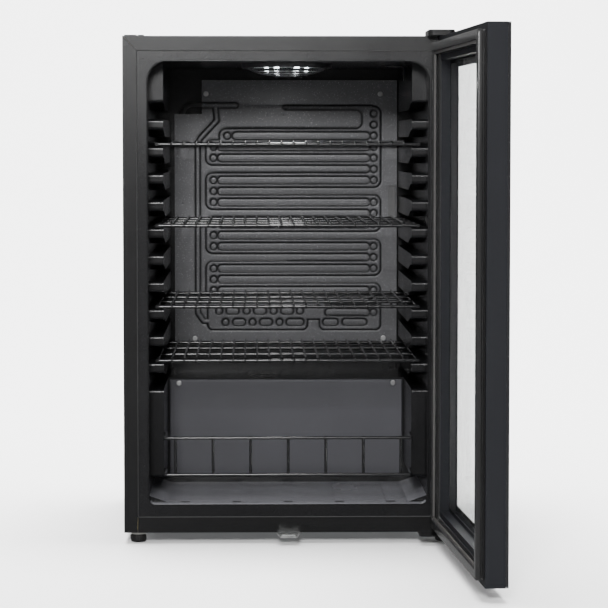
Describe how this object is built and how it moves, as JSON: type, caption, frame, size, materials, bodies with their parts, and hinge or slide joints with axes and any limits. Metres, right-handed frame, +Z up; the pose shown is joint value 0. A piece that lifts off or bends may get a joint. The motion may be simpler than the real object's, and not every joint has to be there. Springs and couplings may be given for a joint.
{
  "type": "glass door merchandiser",
  "caption": "Compact upright drinks cooler: insulated steel cabinet with sliding wire shelves, a hinged double-glazed door, a roll-bond evaporator and a cooling unit at the back.",
  "frame": {"origin": "on the floor, under the middle of the whole object with its door standing open", "axes": "+X towards the hinge side seen from the front, +Y from the door to the back, +Z up"},
  "size_m": [0.4768, 0.9132, 0.6937],
  "materials": {
    "painted_steel": "satin charcoal powder coat with a fine grain",
    "galvanised_steel": "galvanised sheet",
    "zinc_plated_steel": "zinc plated",
    "liner_plastic": "fine-grained moulded ABS",
    "trim_plastic": "fine-grained moulded ABS",
    "white_plastic": "smooth",
    "knob_plastic": "smooth",
    "insulation": "closed-cell foam",
    "foot_rubber": "matt rubber over a steel stud",
    "led_board": "white circuit board",
    "led": "diodes",
    "lamp_lens": "clear lens",
    "evaporator_aluminium": "coated roll-bond sheet",
    "shelf_wire": "gloss black coated wire",
    "compressor_shell": "satin black enamel",
    "condenser_steel": "black enamel",
    "copper": "drawn copper",
    "door_frame": "satin dark anodised",
    "door_glass": "clear float glass with a black printed border",
    "spacer_aluminium": "mill finish",
    "gasket_rubber": "satin vinyl",
    "magnet": "bonded ferrite strip",
    "lock_chrome": "polished"
  },
  "bodies": {
    "cabinet": {"outer_wrap": "painted_steel", "bottom_rail": "painted_steel", "top_hinge_bracket": "painted_steel", "bottom_hinge_bracket": "painted_steel", "base_pan": "galvanised_steel", "back_panel": "galvanised_steel", "compressor_tray": "galvanised_steel", "hinge_pins": "zinc_plated_steel", "lock_strike": "zinc_plated_steel", "frame_screws": "zinc_plated_steel", "liner_screws": "zinc_plated_steel", "compressor_bolts": "zinc_plated_steel", "condenser_brackets": "zinc_plated_steel", "foot_washers": "zinc_plated_steel", "liner": "liner_plastic", "step_panel": "liner_plastic", "drip_gutter": "liner_plastic", "top_hinge_cover": "trim_plastic", "hinge_hole_caps": "trim_plastic", "lamp_housing": "trim_plastic", "suction_sleeve": "trim_plastic", "sensor_clip": "trim_plastic", "relay_cover": "trim_plastic", "thermostat_body": "trim_plastic", "cord_gland": "trim_plastic", "evaporation_tray": "white_plastic", "drain_tube": "white_plastic", "foam_body": "insulation", "rear_feet": "foot_rubber", "compressor_grommets": "foot_rubber", "led_board": "led_board", "lamp_leds": "led", "lamp_lens": "lamp_lens", "evaporator_plate": "evaporator_aluminium", "guard_rail": "shelf_wire", "compressor": "compressor_shell", "condenser": "condenser_steel", "discharge_tube": "copper", "suction_tube": "copper", "filter_drier": "copper", "liquid_tube": "copper", "sensor_bulb": "copper"},
    "door": {"door_stiles": "door_frame", "door_rails": "door_frame", "outer_glass": "door_glass", "inner_glass": "door_glass", "glass_spacer": "spacer_aluminium", "door_gasket": "gasket_rubber", "gasket_magnets": "magnet", "door_bushings": "trim_plastic", "lock_barrel": "lock_chrome"},
    "shelf_1": {"shelf_1": "shelf_wire"},
    "shelf_2": {"shelf_2": "shelf_wire"},
    "shelf_3": {"shelf_3": "shelf_wire"},
    "shelf_4": {"shelf_4": "shelf_wire"},
    "lock_cam": {"lock_cam": "zinc_plated_steel"},
    "front_left_foot": {"front_left_foot": "foot_rubber"},
    "front_right_foot": {"front_right_foot": "foot_rubber"},
    "thermostat_knob": {"thermostat_knob": "knob_plastic"}
  },
  "joints": [
    {"name": "door_hinge", "type": "hinge", "parent": "cabinet", "child": "door", "pos_m": [0.19463, -0.0238, 0], "axis": [0, 0, 1], "range_deg": [-93.2, 16.8]},
    {"name": "lock_turn", "type": "hinge", "parent": "door", "child": "lock_cam", "pos_m": [0.20638, -0.23397, 0.0265], "axis": [-0.9984, -0.0558, 0], "range_deg": [-90, 0]},
    {"name": "shelf_1_slide", "type": "slide", "parent": "cabinet", "child": "shelf_1", "axis": [0, -1, 0], "range_m": [0, 0.32]},
    {"name": "shelf_2_slide", "type": "slide", "parent": "cabinet", "child": "shelf_2", "axis": [0, -1, 0], "range_m": [0, 0.32]},
    {"name": "shelf_3_slide", "type": "slide", "parent": "cabinet", "child": "shelf_3", "axis": [0, -1, 0], "range_m": [0, 0.32]},
    {"name": "shelf_4_slide", "type": "slide", "parent": "cabinet", "child": "shelf_4", "axis": [0, -1, 0], "range_m": [0, 0.32]},
    {"name": "front_left_foot_levelling", "type": "slide", "parent": "cabinet", "child": "front_left_foot", "axis": [0, 0, -1], "range_m": [0, 0.01]},
    {"name": "front_right_foot_levelling", "type": "slide", "parent": "cabinet", "child": "front_right_foot", "axis": [0, 0, -1], "range_m": [0, 0.01]},
    {"name": "thermostat_turn", "type": "hinge", "parent": "cabinet", "child": "thermostat_knob", "pos_m": [0.13413, 0.4248, 0.142], "axis": [0, 1, 0], "range_deg": [0, 270]}
  ]
}
